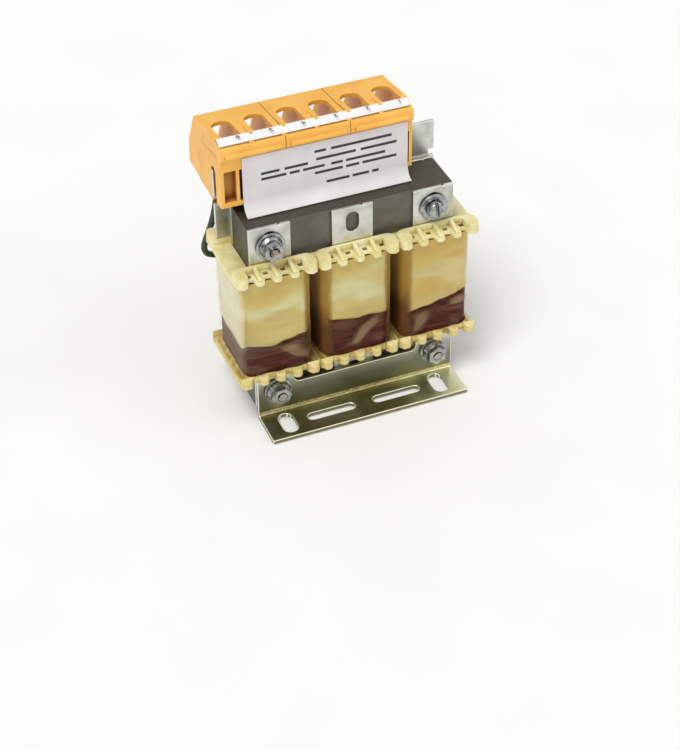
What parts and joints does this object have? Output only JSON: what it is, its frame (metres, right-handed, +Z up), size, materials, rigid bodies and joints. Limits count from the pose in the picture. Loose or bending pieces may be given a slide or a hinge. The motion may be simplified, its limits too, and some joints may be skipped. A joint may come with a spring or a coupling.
{
  "type": "three-phase line reactor",
  "caption": "Open-frame line reactor: laminated core with wound limbs, two slotted mounting feet and a row of orange wire terminals on top.",
  "frame": {"origin": "centre of the part's footprint box, on the surface the feet stand on", "axes": "+Z up through the coils, +X along the row of coils to the right, +Y from the label side to the back"},
  "size_m": [0.0776, 0.053, 0.0948],
  "materials": {
    "varnished_core_steel": "clear varnish over stacked electrical steel",
    "gap_card": "plain pressed card",
    "zinc_plate": "bright zinc plating",
    "olive_zinc_plate": "yellow-olive passivated zinc",
    "natural_nylon": "natural, slightly translucent",
    "enamelled_copper": "red-brown enamel on copper wire",
    "yellow_tape": "resin-soaked tape",
    "clear_film": "thin clear film",
    "bright_zinc_fastener": "bright zinc plating",
    "orange_terminal_plastic": "satin moulded",
    "white_strip_plastic": "smooth",
    "label_paper": "plain white film label",
    "dark_green_sleeve": "woven insulating sleeve"
  },
  "bodies": {
    "root": {"bobbin_1": "natural_nylon", "bobbin_2": "natural_nylon", "bobbin_3": "natural_nylon", "bolt_lower_left": "bright_zinc_fastener", "bolt_lower_right": "bright_zinc_fastener", "bolt_upper_left": "bright_zinc_fastener", "bolt_upper_right": "bright_zinc_fastener", "clamp_strap_front_1": "zinc_plate", "clamp_strap_front_2": "zinc_plate", "clamp_strap_front_3": "zinc_plate", "clamp_strap_rear_1": "zinc_plate", "clamp_strap_rear_2": "zinc_plate", "clamp_strap_rear_3": "zinc_plate", "clear_film_1": "clear_film", "clear_film_2": "clear_film", "clear_film_3": "clear_film", "core_e_stack": "varnished_core_steel", "core_i_yoke": "varnished_core_steel", "foot_front": "olive_zinc_plate", "foot_rear": "olive_zinc_plate", "front_label": "label_paper", "gap_card_1": "gap_card", "gap_card_2": "gap_card", "gap_card_3": "gap_card", "marker_strip": "white_strip_plastic", "nut_lower_left": "bright_zinc_fastener", "nut_lower_right": "bright_zinc_fastener", "nut_upper_left": "bright_zinc_fastener", "nut_upper_right": "bright_zinc_fastener", "tape_wrap_1": "yellow_tape", "tape_wrap_2": "yellow_tape", "tape_wrap_3": "yellow_tape", "terminal_block_1": "orange_terminal_plastic", "terminal_block_2": "orange_terminal_plastic", "terminal_block_3": "orange_terminal_plastic", "terminal_carrier": "zinc_plate", "terminal_clamp_1": "bright_zinc_fastener", "terminal_clamp_2": "bright_zinc_fastener", "terminal_clamp_3": "bright_zinc_fastener", "terminal_clamp_4": "bright_zinc_fastener", "terminal_clamp_5": "bright_zinc_fastener", "terminal_clamp_6": "bright_zinc_fastener", "washer_front_lower_left": "bright_zinc_fastener", "washer_front_lower_right": "bright_zinc_fastener", "washer_front_upper_left": "bright_zinc_fastener", "washer_front_upper_right": "bright_zinc_fastener", "washer_rear_lower_left": "bright_zinc_fastener", "washer_rear_lower_right": "bright_zinc_fastener", "washer_rear_upper_left": "bright_zinc_fastener", "washer_rear_upper_right": "bright_zinc_fastener", "winding_1": "enamelled_copper", "winding_2": "enamelled_copper", "winding_3": "enamelled_copper", "winding_lead_1": "dark_green_sleeve", "winding_lead_2": "dark_green_sleeve", "winding_lead_3": "dark_green_sleeve", "winding_lead_4": "dark_green_sleeve", "winding_lead_5": "dark_green_sleeve", "winding_lead_6": "dark_green_sleeve"}
  },
  "joints": []
}
